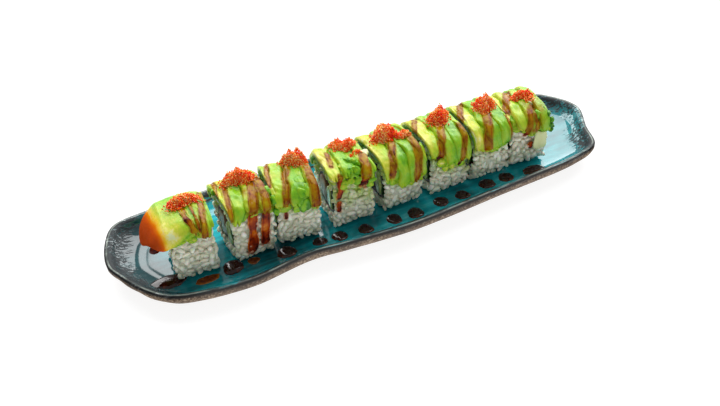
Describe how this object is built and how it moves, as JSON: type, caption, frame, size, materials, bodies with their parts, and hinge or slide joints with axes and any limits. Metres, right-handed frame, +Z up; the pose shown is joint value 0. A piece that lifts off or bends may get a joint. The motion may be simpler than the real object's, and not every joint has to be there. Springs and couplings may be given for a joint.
{
  "type": "uramaki roll on a plate",
  "caption": "Inside-out sushi roll cut into pieces, with rice outside, avocado draped over the top, roe mounds and dark sauce, in a row on a long shallow stoneware plate.",
  "frame": {"origin": "on the table, under the middle of the plate's box", "axes": "+X along the plate and the row of pieces, +Y to the plate's far edge, +Z up"},
  "size_m": [0.3444, 0.0984, 0.0622],
  "materials": {
    "glaze": "gloss",
    "rice": "satin",
    "seaweed": "satin",
    "cucumber": "satin",
    "filling": "satin",
    "avocado": "gloss",
    "roe": "gloss",
    "sauce": "gloss"
  },
  "bodies": {
    "root": {"plate": "glaze", "rice_1": "rice", "seaweed_1": "seaweed", "cucumber_1": "cucumber", "filling_1": "filling", "avocado_1": "avocado", "roe_1": "roe", "rice_2": "rice", "seaweed_2": "seaweed", "cucumber_2": "cucumber", "filling_2": "filling", "avocado_2": "avocado", "roe_2": "roe", "rice_3": "rice", "seaweed_3": "seaweed", "cucumber_3": "cucumber", "filling_3": "filling", "avocado_3": "avocado", "roe_3": "roe", "rice_4": "rice", "seaweed_4": "seaweed", "cucumber_4": "cucumber", "filling_4": "filling", "avocado_4": "avocado", "roe_4": "roe", "rice_5": "rice", "seaweed_5": "seaweed", "cucumber_5": "cucumber", "filling_5": "filling", "avocado_5": "avocado", "roe_5": "roe", "rice_6": "rice", "seaweed_6": "seaweed", "cucumber_6": "cucumber", "filling_6": "filling", "avocado_6": "avocado", "roe_6": "roe", "rice_7": "rice", "seaweed_7": "seaweed", "cucumber_7": "cucumber", "filling_7": "filling", "avocado_7": "avocado", "roe_7": "roe", "rice_8": "rice", "seaweed_8": "seaweed", "cucumber_8": "cucumber", "filling_8": "filling", "avocado_8": "avocado", "roe_8": "roe", "sauce_pool_1": "sauce", "sauce_pool_2": "sauce", "sauce_pool_3": "sauce", "sauce_pool_4": "sauce", "sauce_pool_5": "sauce", "sauce_pool_6": "sauce", "sauce_pool_7": "sauce", "sauce_pool_8": "sauce", "sauce_pool_9": "sauce", "sauce_pool_10": "sauce"}
  },
  "joints": []
}
